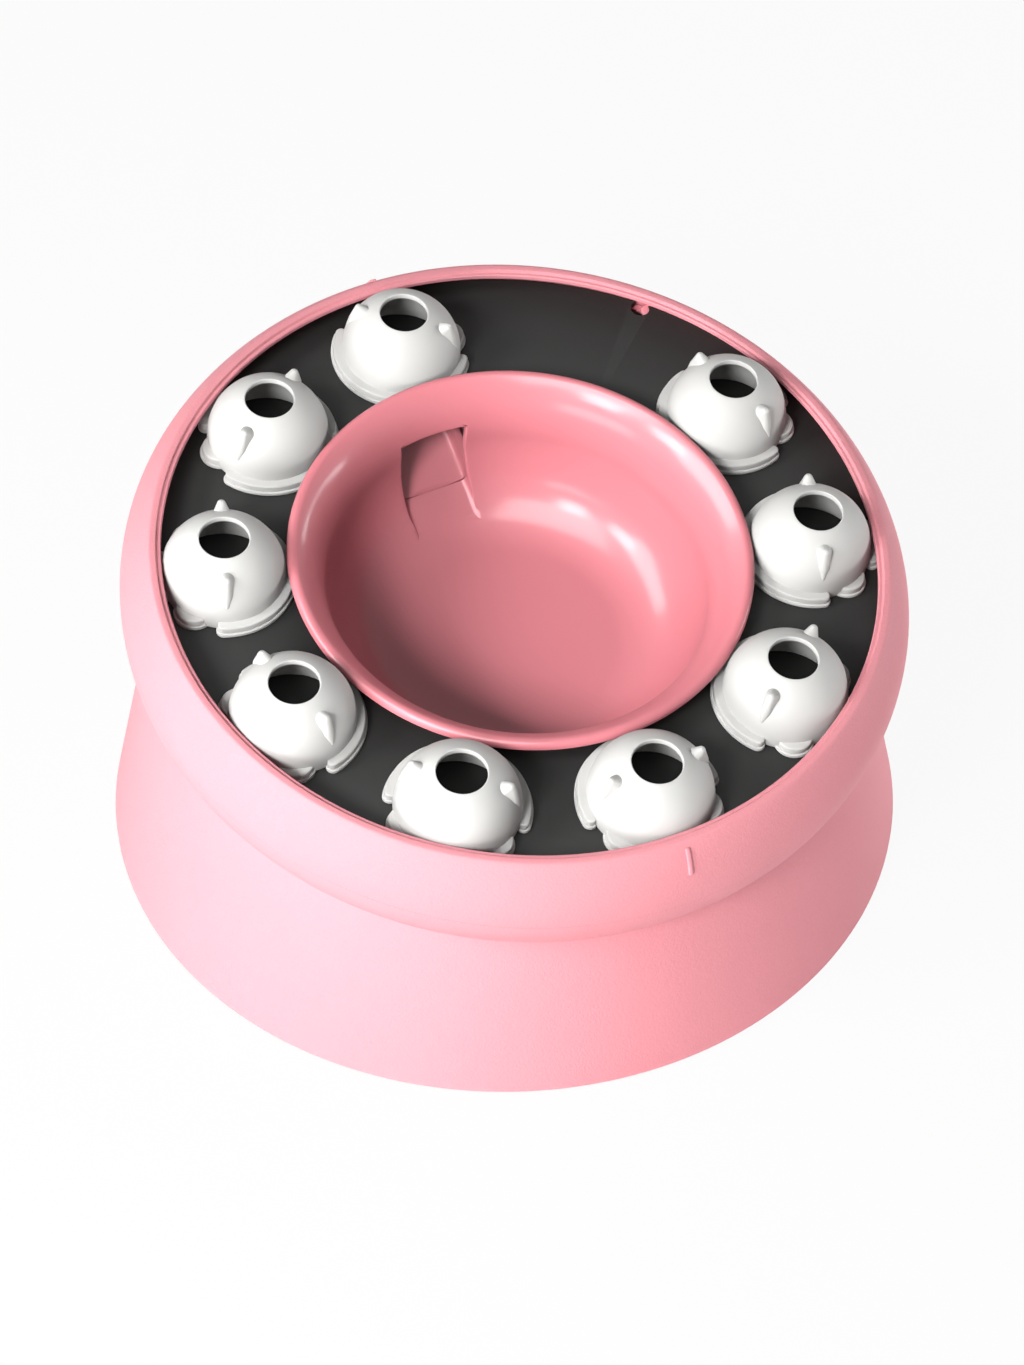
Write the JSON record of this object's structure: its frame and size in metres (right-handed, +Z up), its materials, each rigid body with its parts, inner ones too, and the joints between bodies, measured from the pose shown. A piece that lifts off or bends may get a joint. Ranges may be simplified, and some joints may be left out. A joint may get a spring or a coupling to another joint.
{
  "type": "cat puzzle feeder",
  "caption": "Round slow feeder for cats: hollow kibble domes slide round a tilted ring channel about a lift-out bowl, which a drop hole, chute and window feed, on a tapered stand.",
  "frame": {"origin": "centre of the stand, on the surface that the foot pads rest on", "axes": "+Z up, -Y towards the low side of the tilted channel, +Y towards the chute"},
  "size_m": [0.28, 0.2804, 0.1595],
  "materials": {
    "stand_pink": "fine moulded grain",
    "shell_pink": "fine moulded grain",
    "channel_black": "matte",
    "bowl_pink": "glossy",
    "dome_white": "satin",
    "foot_rubber": "matte",
    "screw_steel": "plain"
  },
  "bodies": {
    "stand": {"base_skirt": "stand_pink", "foot_pad_1": "foot_rubber", "foot_pad_2": "foot_rubber", "foot_pad_3": "foot_rubber", "foot_pad_4": "foot_rubber", "lower_shell": "shell_pink", "upper_shell": "shell_pink", "channel_floor": "channel_black", "food_chute": "bowl_pink", "deck_screw_1": "screw_steel", "deck_screw_2": "screw_steel", "deck_screw_3": "screw_steel", "deck_screw_4": "screw_steel"},
    "bowl": {"food_bowl": "bowl_pink"},
    "dome_1": {"dome_1": "dome_white"},
    "dome_2": {"dome_2": "dome_white"},
    "dome_3": {"dome_3": "dome_white"},
    "dome_4": {"dome_4": "dome_white"},
    "dome_5": {"dome_5": "dome_white"},
    "dome_6": {"dome_6": "dome_white"},
    "dome_7": {"dome_7": "dome_white"},
    "dome_8": {"dome_8": "dome_white"},
    "dome_9": {"dome_9": "dome_white"}
  },
  "joints": [
    {"name": "dome_train_turn", "type": "hinge", "parent": "stand", "child": "dome_5", "pos_m": [0, -0.01142, 0.11764], "axis": [0, -0.1831, 0.9831], "continuous": true},
    {"name": "dome_1_slide", "type": "hinge", "parent": "dome_5", "child": "dome_1", "pos_m": [0, -0.01142, 0.11764], "axis": [0, -0.1831, 0.9831], "range_deg": [-43, 7]},
    {"name": "dome_2_slide", "type": "hinge", "parent": "dome_5", "child": "dome_2", "pos_m": [0, -0.01142, 0.11764], "axis": [0, -0.1831, 0.9831], "range_deg": [-7, 7]},
    {"name": "dome_3_slide", "type": "hinge", "parent": "dome_5", "child": "dome_3", "pos_m": [0, -0.01142, 0.11764], "axis": [0, -0.1831, 0.9831], "range_deg": [-7, 7]},
    {"name": "dome_4_slide", "type": "hinge", "parent": "dome_5", "child": "dome_4", "pos_m": [0, -0.01142, 0.11764], "axis": [0, -0.1831, 0.9831], "range_deg": [-7, 7]},
    {"name": "dome_6_slide", "type": "hinge", "parent": "dome_5", "child": "dome_6", "pos_m": [0, -0.01142, 0.11764], "axis": [0, -0.1831, 0.9831], "range_deg": [-7, 7]},
    {"name": "dome_7_slide", "type": "hinge", "parent": "dome_5", "child": "dome_7", "pos_m": [0, -0.01142, 0.11764], "axis": [0, -0.1831, 0.9831], "range_deg": [-7, 7]},
    {"name": "dome_8_slide", "type": "hinge", "parent": "dome_5", "child": "dome_8", "pos_m": [0, -0.01142, 0.11764], "axis": [0, -0.1831, 0.9831], "range_deg": [-7, 7]},
    {"name": "dome_9_slide", "type": "hinge", "parent": "dome_5", "child": "dome_9", "pos_m": [0, -0.01142, 0.11764], "axis": [0, -0.1831, 0.9831], "range_deg": [-7, 43]},
    {"name": "bowl_lift", "type": "slide", "parent": "stand", "child": "bowl", "axis": [0, -0.1831, 0.9831], "range_m": [0, 0.06]}
  ]
}
